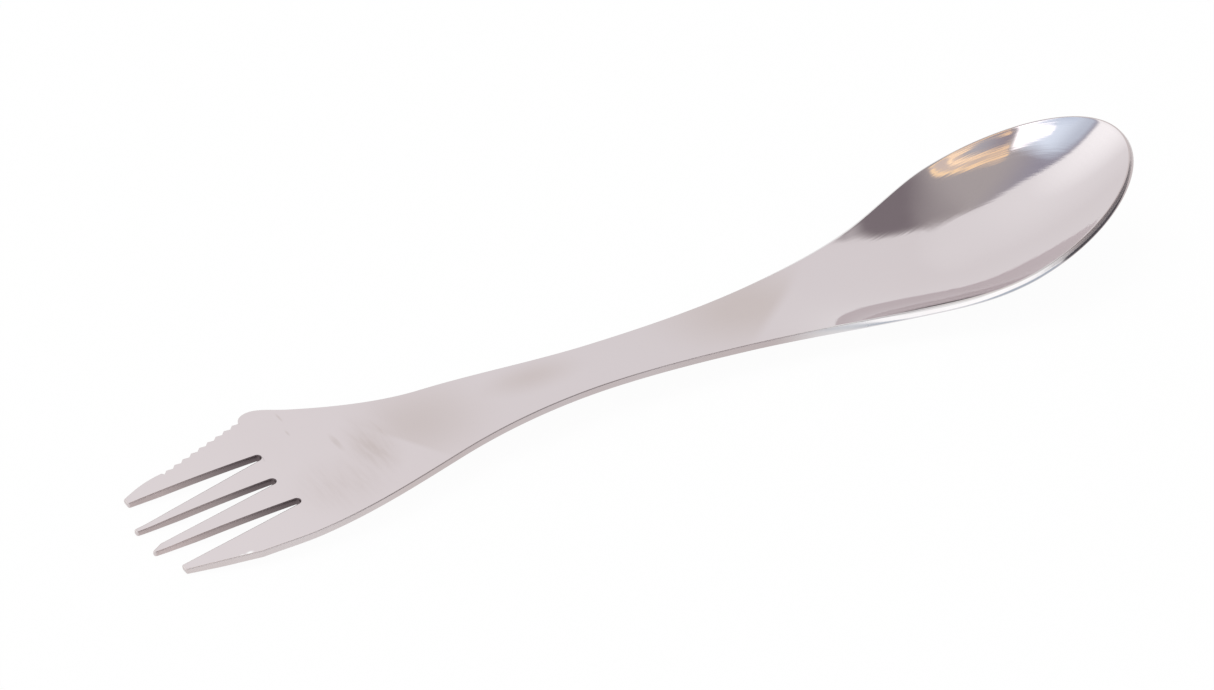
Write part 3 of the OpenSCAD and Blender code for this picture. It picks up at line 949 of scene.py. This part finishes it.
def face_colour(steel, finish):
    """The polished faces' colour, which shifts from the tines over the palm to the handle."""
    palm = steel.step((-1100, 1050), *PALM_STEP)
    tone = steel.blend((-850, 1050), palm, finish.tine_tone, finish.face_tone)
    return steel.blend((-750, 900), steel.step((-1100, 900), *HANDLE_STEP), tone, finish.handle_tone)


def edge_colour(steel, finish):
    """The cut edge's colour, paler at the outer tines, and paler still along the side of the bowl, where
    the polished rim carries a painted highlight.
    """
    palm = steel.step((-1100, 1200), *TINE_EDGE_STEP)
    tone = steel.blend((-850, 1200), palm, finish.tine_edge_tone, finish.edge_tone)
    # The rim along the side of the bowl: polished, and painted paler as part of its highlight
    start = steel.step((-1100, 900), *RIM_START_STEP)
    end = steel.step((-1100, 1050), *RIM_END_STEP)
    return steel.blend((-750, 900), steel.math("SUBTRACT", (-900, 900), start, end), tone, finish.rim_tone)


def dull_mask(steel):
    """Where the cut edge is dull: its upper part at the spoon tip, and whole stretches of it."""
    depth = steel.attribute("Depth", (-700, 700))
    below = steel.math("GREATER_THAN", (-500, 750), depth, DULL_DEPTH_SHARES[0])
    above = steel.math("LESS_THAN", (-500, 600), depth, DULL_DEPTH_SHARES[1])
    zone = steel.math("MULTIPLY", (-400, 700), below, above)
    dull = steel.math("MULTIPLY", (-350, 800), zone, steel.step((-1100, 850), *DULL_TIP_STEP))
    for start, end in DULL_STRETCHES:
        after = steel.step((-1100, 700), start, DULL_STEP_WIDTH)
        past = steel.step((-1100, 600), end, DULL_STEP_WIDTH)
        dull = steel.math("MAXIMUM", (-300, 600), dull, steel.math("SUBTRACT", (-500, 450), after, past))
    return dull


def steel_material(name, finish, groups, film_share, smudged=False, cut=False):
    """Polished or cut steel with its lines and film, and, where asked, warm patches and painted glints."""
    steel = SteelTree(name, groups)
    lines = steel.lines(*(EDGE_LINES if cut else FACE_LINES))
    warm = steel.math("MULTIPLY", (-800, 0), steel.group("film", (-1100, 0)), film_share)
    film = steel.group("film", (-1100, -200), **COOL_BLOTCHES)
    cool = steel.math("MULTIPLY", (-800, -200), film, film_share)
    if smudged:
        warm = steel.math("ADD", (-600, -100), warm, warm_patch_mask(steel), clamp=True)
    tone = edge_colour(steel, finish) if cut else face_colour(steel, finish)
    base = steel.blend((-500, 0), cool, tone, finish.cool_tone)
    base = steel.blend((-250, 0), warm, base, finish.warm_tone)
    if smudged:
        # Painted glints: small white spots where scratches catch the light
        for centre, reach in PAINTED_GLINTS:
            base = steel.blend((0, -600), steel.patch((-300, -700), centre, reach), base, finish.nick_tone)
    rough = steel.math("MULTIPLY", (-500, 300), lines, LINE_ROUGH)
    rough = steel.math("MULTIPLY_ADD", (-250, 200), warm, FILM_ROUGH, rough)
    rough = steel.math("ADD", (0, 200), rough, finish.edge_rough if cut else finish.face_rough, clamp=True)
    if cut:
        rough = steel.math("MULTIPLY_ADD", (0, 400), dull_mask(steel), DULL_ROUGH, rough)
    bowl = steel.step((-1100, 500), *BOWL_STEP)
    part = steel.math("MULTIPLY_ADD", (-800, 500), bowl, 1 - FLAT_LINE_SHARE, FLAT_LINE_SHARE)
    height = steel.math("MULTIPLY", (-500, 450), lines, part)
    return steel.close(base, rough, height, EDGE_LINE_HEIGHT if cut else FACE_LINE_HEIGHT)


def slot_material(finish, groups):
    """The walls of the slots, with painted shade that darkens them towards the round ends, and blotches of
    that dark colour.
    """
    steel = SteelTree("Slot wall", groups)
    lines = steel.lines(*EDGE_LINES)
    # Painted shade: the walls darken towards the round ends of the slots, deep in the narrow gaps
    root = steel.step((-1100, -200), *ROOT_SHADE_STEP)
    base = steel.blend((-500, 0), root, finish.slot_tone, finish.root_tone)
    # Blotches at random that pull the wall towards the same dark colour
    blotches = steel.group("film", (-1100, 0), **SLOT_BLOTCHES)
    film = steel.math("MULTIPLY", (-500, -200), blotches, SLOT_FILM)
    base = steel.blend((-250, 0), film, base, finish.root_tone)
    rough = steel.math("MULTIPLY_ADD", (-250, 200), lines, SLOT_LINE_ROUGH, SLOT_ROUGH)
    return steel.close(base, rough, lines, SLOT_LINE_HEIGHT)


# Making the sheet


class SPORK_OT_make_sheet(bpy.types.Operator):
    """Build the steel sheet with its bowl, handle, tines and teeth."""

    bl_idname = "spork.make_sheet"
    bl_label = "Make the steel sheet"

    def execute(self, context):
        scene = context.scene
        finish = scene.spork_finish
        shape = SporkShape((scene.spork_sheet, scene.spork_bowl, scene.spork_fork))
        data = SheetMesh(shape).build("Spork_sheet")
        groups = {
            "lines": polish_lines_group(),
            "film": soft_film_group(),
            "patch": soft_patch_group(),
            "step": soft_step_group(),
        }
        faces = steel_material("Polished face", finish, groups, FACE_FILM, smudged=True)
        under = steel_material("Polished underside", finish, groups, UNDER_FILM)
        edges = steel_material("Cut edge", finish, groups, EDGE_FILM, cut=True)
        for material in (faces, under, edges, slot_material(finish, groups)):
            data.materials.append(material)
        sheet = bpy.data.objects.new("Spork_sheet", data)
        scene.collection.objects.link(sheet)
        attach(sheet, "root")
        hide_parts("spork")
        return {"FINISHED"}


# Studio


def card_material():
    """The cards' shared material: the colour and the cover at each corner come with the card."""
    material = bpy.data.materials.new("Studio card")
    tree = emptied_tree(material)
    tone = node(tree, "ShaderNodeAttribute", (-400, 0), attribute_name="Tone").outputs
    light = node(tree, "ShaderNodeEmission", (-100, -100), {"Color": tone["Color"]})
    clear = node(tree, "ShaderNodeBsdfTransparent", (-100, 100))
    mixed_output(tree, "ShaderNodeOutputMaterial", tone["Alpha"], clear, light)
    return material


def dome_direction(s, t):
    """The direction whose place in the dome is seen from its foot, with the zenith at (0, 0)."""
    flat = s * s + t * t
    return Vector((2 * s, 2 * t, 1 - flat)) / (1 + flat)


def round_outline(corners, rounds=2):
    """A closed outline with its corners cut that many times, a quarter of each side at a time."""
    for _ in range(rounds):
        pairs = list(zip(corners, corners[1:] + corners[:1]))
        corners = [mix_points(one, two, part) for one, two in pairs for part in (0.25, 0.75)]
    return corners


def moved_outline(corners, distance):
    """A closed outline moved outwards, square to itself."""
    count = len(corners)
    area = sum(one[0] * two[1] - one[1] * two[0] for one, two in zip(corners, corners[1:] + corners[:1]))
    side = math.copysign(1, area) * distance
    moved = []
    for n, corner in enumerate(corners):
        before = corners[n - 1]
        after = corners[(n + 1) % count]
        along = Vector((after[0] - before[0], after[1] - before[1])).normalized()
        moved.append((corner[0] + side * along[1], corner[1] - side * along[0]))
    return moved


def card_tone(place, tones):
    """The card's colour at a place, between the first tone's place and the last one's."""
    if len(tones) == 1:
        return tones[0][1]
    (start, first), (end, last) = tones
    along = Vector(end) - Vector(start)
    part = ease((Vector(place) - Vector(start)).dot(along) / along.length_squared)
    return tuple(mix(m, n, part) for m, n in zip(first, last))


def add_card(context, name, material, rows, faces, tones, reach):
    """A studio card seen only in the polished steel, from rows of dome places with their cover."""
    flat = bmesh.new()
    corners = [flat.verts.new((*place, part)) for row, part in rows for place in row]
    for face in faces:
        flat.faces.new([corners[n] for n in face])
    bmesh.ops.triangulate(flat, faces=flat.faces[:])
    bmesh.ops.subdivide_edges(flat, edges=flat.edges[:], cuts=CARD_CUTS, use_grid_fill=True)
    places = [corner.co.copy() for corner in flat.verts]
    for corner, place in zip(flat.verts, places):
        corner.co = Vector(DOME_FOOT) + reach * dome_direction(place[0], place[1])
    data = bpy.data.meshes.new(name)
    flat.to_mesh(data)
    flat.free()
    colours = data.color_attributes.new("Tone", "FLOAT_COLOR", "POINT")
    for n, place in enumerate(places):
        colours.data[n].color = (*card_tone(place[:2], tones), place[2])
    data.materials.append(material)
    card = bpy.data.objects.new(name, data)
    context.scene.collection.objects.link(card)
    card.visible_camera = False
    card.visible_diffuse = False
    card.visible_shadow = False
    card.visible_transmission = False


def add_panel(context, name, material, reach, soft, tones, corners):
    """A card with a closed outline and a soft border."""
    outline = round_outline(list(corners))
    rows = [(moved_outline(outline, -soft / 2), 1.0), (moved_outline(outline, soft / 2), 0.0)]
    count = len(outline)
    faces = [tuple(range(count))]
    for n in range(count):
        m = (n + 1) % count
        faces.append((n, n + count, m + count, m))
    add_card(context, name, material, rows, faces, tones, reach)


def add_band(context, name, material, reach, width, tones, corners):
    """A card that follows a line, brightest along its middle."""
    count = len(corners)
    rows = []
    for offset, part in BAND_ROWS:
        row = []
        for n, corner in enumerate(corners):
            before = corners[max(0, n - 1)]
            after = corners[min(count - 1, n + 1)]
            along = Vector((after[0] - before[0], after[1] - before[1])).normalized()
            row.append((corner[0] - offset * width * along[1], corner[1] + offset * width * along[0]))
        rows.append((row, part))
    faces = []
    for a in range(len(rows) - 1):
        for n in range(count - 1):
            one = a * count + n
            faces.append((one, one + 1, one + 1 + count, one + count))
    add_card(context, name, material, rows, faces, tones, reach)


def ring_of_places(s, t, reach):
    """Eight corners round a place in the dome."""
    turns = [math.radians(45 * n) for n in range(8)]
    return tuple((s + reach * math.cos(a), t + reach * math.sin(a)) for a in turns)


def low_places(*pairs):
    """Places in the dome of directions given as azimuth and elevation in degrees."""
    places = []
    for azimuth, elevation in pairs:
        reach = math.tan(math.radians(90 - elevation) / 2)
        turn = math.radians(azimuth)
        places.append((reach * math.cos(turn), reach * math.sin(turn)))
    return tuple(places)


# The foot of the dome of cards, in the bowl, and the cuts in each edge of a card
DOME_FOOT = (0.055, 0.0, 0.004)
CARD_CUTS = 5
# Lines along a band, each a share of its width from the middle, and the cover there
BAND_ROWS = ((-0.5, 0.0), (-0.14, 1.0), (0.14, 1.0), (0.5, 0.0))
# The studio cards: name, distance, softness of the border, tones with their places, outline in the dome
PANELS = (
    ("Window_spill", 5.8, 0.33, (((0, 0), (1.15, 1.17, 1.17)),), ring_of_places(-0.30, 0.33, 0.31)),
    ("Window_spill_core", 5.5, 0.17, (((0, 0), (1.42, 1.47, 1.46)),), ring_of_places(-0.35, 0.38, 0.18)),
    (
        "Ceiling", 5.0, 0.022,
        (((-0.18, 0.24), (0.44, 0.44, 0.52)), ((-0.07, 0.1), (0.57, 0.55, 0.54))),
        (
            (-0.36, 0.30), (-0.24, 0.31), (-0.18, 0.262), (-0.14, 0.225), (-0.10, 0.208),
            (-0.05, 0.197), (0.0, 0.173), (0.028, 0.152), (0.044, 0.105), (0.10, 0.062), (0.16, 0.037),
            (0.22, 0.008), (0.265, -0.016), (0.30, -0.048), (0.325, -0.09), (0.335, -0.14),
            (0.30, -0.30), (-0.1, -0.40), (-0.42, -0.20),
        ),
    ),
    (
        "Ceiling_dark_side", 4.5, 0.03,
        (((-0.05, 0.0), (0.57, 0.55, 0.54)), ((0.12, 0.0), (0.28, 0.25, 0.268))),
        (
            (-0.04, 0.12), (0.0, 0.158), (0.022, 0.144), (0.038, 0.10), (0.098, 0.058), (0.158, 0.033),
            (0.218, 0.004), (0.263, -0.020), (0.298, -0.052), (0.326, -0.093), (0.338, -0.14),
            (0.33, -0.35), (-0.06, -0.35), (-0.10, -0.10), (-0.10, 0.05),
        ),
    ),
    (
        "Window_glow", 4.0, 0.036,
        (((-0.25, 0.27), (0.74, 0.85, 0.98)), ((-0.24, 0.14), (1.06, 1.24, 1.40))),
        (
            (-0.36, 0.285), (-0.26, 0.290), (-0.225, 0.268), (-0.207, 0.24), (-0.203, 0.18),
            (-0.200, 0.12), (-0.19, 0.085), (-0.196, 0.05), (-0.215, 0.0), (-0.23, -0.02),
            (-0.30, -0.02), (-0.40, 0.10),
        ),
    ),
    (
        "Window_side", 3.6, 0.02,
        (((0, 0), (0.80, 0.95, 1.13)),),
        (
            (-0.31, 0.21), (-0.285, 0.2), (-0.272, 0.14), (-0.25, 0.06), (-0.215, -0.01),
            (-0.3, -0.06), (-0.4, 0.1),
        ),
    ),
    (
        "Window", 3.2, 0.014,
        (((0, 0), (2.4, 2.4, 2.4)),),
        (
            (-0.252, 0.134), (-0.238, 0.132), (-0.228, 0.113), (-0.202, 0.086), (-0.175, 0.060),
            (-0.172, 0.043), (-0.200, 0.012), (-0.208, 0.0), (-0.214, 0.002), (-0.231, 0.035),
            (-0.249, 0.085), (-0.255, 0.113),
        ),
    ),
    (
        "Lamp_shade", 4.2, 0.02,
        (((-0.16, 0.05), (0.84, 0.70, 0.57)), ((-0.02, -0.08), (0.92, 0.80, 0.70))),
        (
            (-0.156, 0.056), (-0.143, 0.054), (-0.116, 0.028), (-0.086, -0.002), (-0.05, -0.03),
            (-0.02, -0.052), (0.0, -0.072), (0.003, -0.10), (0.0, -0.135), (-0.1, -0.125),
            (-0.21, -0.05), (-0.195, -0.008), (-0.175, 0.01), (-0.165, 0.03),
        ),
    ),
    (
        "Lamp_heart", 3.9, 0.014,
        (((-0.19, 0.0), (0.42, 0.39, 0.44)), ((-0.1, -0.06), (0.60, 0.62, 0.66))),
        (
            (-0.20, 0.008), (-0.17, 0.012), (-0.15, 0.006), (-0.128, -0.018), (-0.108, -0.038),
            (-0.088, -0.054), (-0.07, -0.068), (-0.085, -0.077), (-0.11, -0.072), (-0.135, -0.073),
            (-0.16, -0.052), (-0.178, -0.028), (-0.195, -0.012),
        ),
    ),
    (
        "Front_card", 3.0, 0.02,
        (((0, 0), (1.3, 1.3, 1.3)),),
        low_places((-69, 14), (-69, 24), (-82, 31), (-93, 37), (-110, 37), (-110, 21), (-92, 14.5)),
    ),
    (
        "Low_strip", 3.2, 0.03,
        (((0, 0), (0.50, 0.56, 0.64)),),
        low_places((-66, 0.5), (-66, 14), (-92, 18), (-120, 18), (-120, 0.5), (-92, 0.5)),
    ),
    (
        "Dark_side_card", 3.4, 0.02,
        (((0, 0), (0.13, 0.135, 0.155)),),
        low_places((6, 1), (6, 28), (-20, 30), (-45, 30), (-66, 30), (-66, 1), (-30, 1)),
    ),
)
# The lamp's two rings: name, distance, width, tones with their places, line in the dome
BANDS = (
    (
        "Lamp_outer_ring", 3.6, 0.019,
        (((-0.15, 0.05), (1.54, 1.12, 0.67)), ((-0.02, -0.06), (1.54, 1.16, 0.69))),
        (
            (-0.158, 0.058), (-0.150, 0.051), (-0.138, 0.040), (-0.120, 0.022), (-0.100, 0.004),
            (-0.084, -0.008), (-0.070, -0.020), (-0.054, -0.032), (-0.036, -0.046), (-0.022, -0.057),
            (-0.010, -0.068), (-0.004, -0.080), (-0.003, -0.100),
        ),
    ),
    (
        "Lamp_inner_ring", 3.4, 0.019,
        (((-0.15, 0.01), (1.46, 1.06, 0.65)), ((-0.05, -0.07), (1.72, 1.33, 0.86))),
        (
            (-0.168, 0.034), (-0.156, 0.020), (-0.142, 0.006), (-0.126, -0.010), (-0.110, -0.025),
            (-0.094, -0.038), (-0.078, -0.050), (-0.060, -0.062), (-0.049, -0.072), (-0.046, -0.082),
            (-0.052, -0.090), (-0.072, -0.090), (-0.096, -0.084), (-0.12, -0.084), (-0.145, -0.075),
            (-0.165, -0.055), (-0.182, -0.030), (-0.190, -0.012),
        ),
    ),
)


# The floor, the lamp and the camera's fixed values
FLOOR_HALF = 6.0
FLOOR_GLOW = 0.95
LAMP_SIZE = 1.2
LAMP_PLACE = (-0.3, 0.4, 1.6)
PICTURE_WIDTH_PX = 1214
SENSOR_WIDTH = 36.0
NEAREST_SEEN = 0.01


class SPORK_OT_make_studio(bpy.types.Operator):
    """Set up the pale floor, the surround light, the cards, the lamp and the camera."""

    bl_idname = "spork.make_studio"
    bl_label = "Make the studio"

    def execute(self, context):
        scene = context.scene
        studio = scene.spork_studio
        self.add_floor(context, studio)
        self.add_surround(scene, studio)
        self.add_cards(context)
        self.add_lamp(scene, studio)
        self.add_camera(scene, studio)
        return {"FINISHED"}

    def add_floor(self, context, studio):
        """A wide pale floor that keeps the shadow."""
        data = bpy.data.meshes.new("Floor")
        half = FLOOR_HALF
        corners = [(-half, -half, 0), (half, -half, 0), (half, half, 0), (-half, half, 0)]
        data.from_pydata(corners, [], [(0, 1, 2, 3)])
        material = bpy.data.materials.new("Pale floor")
        tree = emptied_tree(material)
        cloth = node(tree, "ShaderNodeBsdfDiffuse", (0, 200), {"Color": (1.0, 1.0, 1.0, 1.0)})
        glow = node(tree, "ShaderNodeEmission", (0, 0), {"Color": (*studio.floor_tone, 1.0)})
        part = math_node(tree, "MULTIPLY", (-100, 300), seen_by_camera(tree, (-400, 300)), FLOOR_GLOW)
        mixed_output(tree, "ShaderNodeOutputMaterial", part, cloth, glow)
        data.materials.append(material)
        floor = bpy.data.objects.new("Floor", data)
        context.scene.collection.objects.link(floor)

    def add_surround(self, scene, studio):
        """Even light from all round, white where the camera or the steel sees it."""
        world = bpy.data.worlds.new("Studio")
        tree = emptied_tree(world)
        plain = node(tree, "ShaderNodeBackground", (0, 200), {"Strength": studio.world_strength})
        feeds = {"Color": (*studio.floor_tone, 1.0), "Strength": 1.0}
        white = node(tree, "ShaderNodeBackground", (0, 0), feeds)
        mixed_output(tree, "ShaderNodeOutputWorld", seen_by_camera(tree, (-400, 300)), plain, white)
        scene.world = world

    def add_cards(self, context):
        """What the bowl mirrors: a dark ceiling, a bright window, a warm lamp and the room's edge."""
        material = card_material()
        for panel in PANELS:
            add_panel(context, panel[0], material, *panel[1:])
        for band in BANDS:
            add_band(context, band[0], material, *band[1:])

    def add_lamp(self, scene, studio):
        """A wide soft lamp over the table, for the shadow on the floor."""
        data = bpy.data.lights.new("Key_lamp", "AREA")
        data.shape = "DISK"
        data.size = LAMP_SIZE
        data.energy = studio.lamp_power
        lamp = bpy.data.objects.new("Key_lamp", data)
        lamp.location = LAMP_PLACE
        direction = Vector((0.0, 0.0, 0.0)) - lamp.location
        lamp.rotation_euler = direction.to_track_quat("-Z", "Y").to_euler()
        lamp.visible_glossy = False
        scene.collection.objects.link(lamp)

    def add_camera(self, scene, studio):
        """The camera of the picture."""
        data = bpy.data.cameras.new("Camera")
        data.sensor_fit = "HORIZONTAL"
        data.sensor_width = SENSOR_WIDTH
        data.lens = studio.focal_px / PICTURE_WIDTH_PX * SENSOR_WIDTH
        data.clip_start = NEAREST_SEEN
        camera = bpy.data.objects.new("Camera", data)
        right = Vector(studio.right).normalized()
        up = Vector(studio.up).normalized()
        back = right.cross(up).normalized()
        up = back.cross(right)
        for row in range(3):
            for column, vector in enumerate((right, up, back, studio.eye)):
                camera.matrix_world[row][column] = vector[row]
        scene.collection.objects.link(camera)
        scene.camera = camera
        scene.view_settings.view_transform = "Standard"


def seen_by_camera(tree, spot):
    """1 for rays from the camera and for what polished or clear things show of them."""
    x, y = spot
    rays = node(tree, "ShaderNodeLightPath", spot).outputs
    seen = math_node(tree, "MAXIMUM", (x + 200, y), rays["Is Camera Ray"], rays["Is Glossy Ray"])
    return math_node(tree, "MAXIMUM", (x + 400, y), seen, rays["Is Transmission Ray"], clamp=True)


# Panel and registration


class SPORK_PT_panel(bpy.types.Panel):
    """The spork's sizes, finish and steps, in the 3D view's sidebar."""

    bl_label = "Spork"
    bl_idname = "SPORK_PT_panel"
    bl_space_type = "VIEW_3D"
    bl_region_type = "UI"
    bl_category = "Spork"

    def draw(self, context):
        layout = self.layout
        for name in GROUPS:
            group = getattr(context.scene, name)
            box = layout.box()
            for item in type(group).__annotations__:
                box.prop(group, item)
        for step in STEPS:
            layout.operator(step.bl_idname)


GROUPS = {
    "spork_sheet": SheetSizes,
    "spork_bowl": BowlSizes,
    "spork_fork": ForkSizes,
    "spork_finish": FinishValues,
    "spork_studio": StudioValues,
}
STEPS = (SPORK_OT_make_studio, SPORK_OT_make_sheet)


def register():
    """Make the sizes, the steps and the panel known."""
    for item in (*GROUPS.values(), *STEPS, SPORK_PT_panel):
        bpy.utils.register_class(item)
    for name, group in GROUPS.items():
        setattr(bpy.types.Scene, name, bpy.props.PointerProperty(type=group))


def unregister():
    """Take them away again."""
    for name in GROUPS:
        delattr(bpy.types.Scene, name)
    for item in (SPORK_PT_panel, *STEPS, *GROUPS.values()):
        bpy.utils.unregister_class(item)


def main():
    """Build the whole scene."""
    register()
    bpy.ops.spork.make_studio()
    bpy.ops.spork.make_sheet()


if __name__ == "__main__":
    main()
